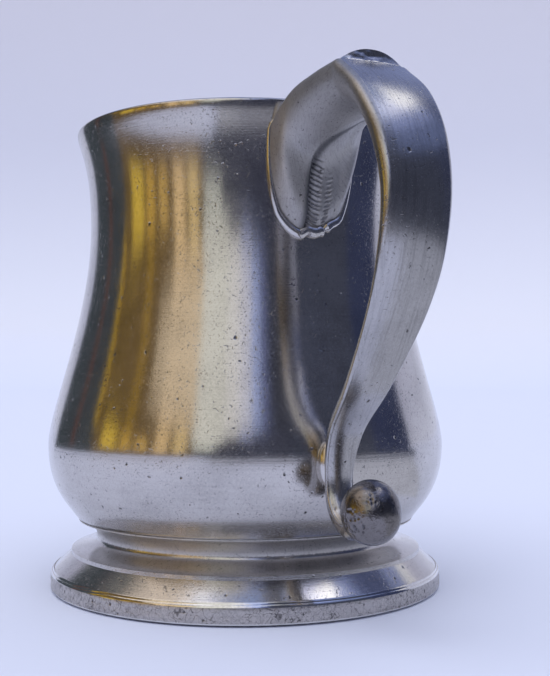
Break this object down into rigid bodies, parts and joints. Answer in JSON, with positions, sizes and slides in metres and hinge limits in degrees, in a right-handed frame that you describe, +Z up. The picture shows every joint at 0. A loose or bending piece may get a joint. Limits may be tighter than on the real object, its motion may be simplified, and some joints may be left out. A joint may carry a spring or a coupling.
{
  "type": "pewter mug",
  "caption": "Lidless bellied pewter drinking mug on a turned spreading foot, with a cast strap handle that has a thumb rest and curls into a ball at its tail.",
  "frame": {"origin": "on the surface that the mug stands on, under the middle of the whole mug with its handle", "axes": "+Z up along the mug's axis, +X from the body towards the handle, +Y across the handle"},
  "size_m": [0.1412, 0.1024, 0.1204],
  "materials": {
    "turned_pewter": "cast pewter skimmed on a lathe and burnished, worn, with fine pits, nicks and scratches",
    "cast_pewter": "cast pewter, filed and burnished, worn smooth on the strap and pitted on the ball",
    "pewter_solder": "bright pewter solder run into the joints, filed flush"
  },
  "bodies": {
    "root": {"upper_body": "turned_pewter", "lower_body": "turned_pewter", "belly_seam_solder": "pewter_solder", "base_plate": "turned_pewter", "base_plate_solder": "pewter_solder", "foot": "turned_pewter", "foot_solder": "pewter_solder", "handle": "cast_pewter", "handle_root_solder": "pewter_solder", "handle_tail_solder": "pewter_solder", "ball_terminal": "cast_pewter", "ball_solder": "pewter_solder"}
  },
  "joints": []
}
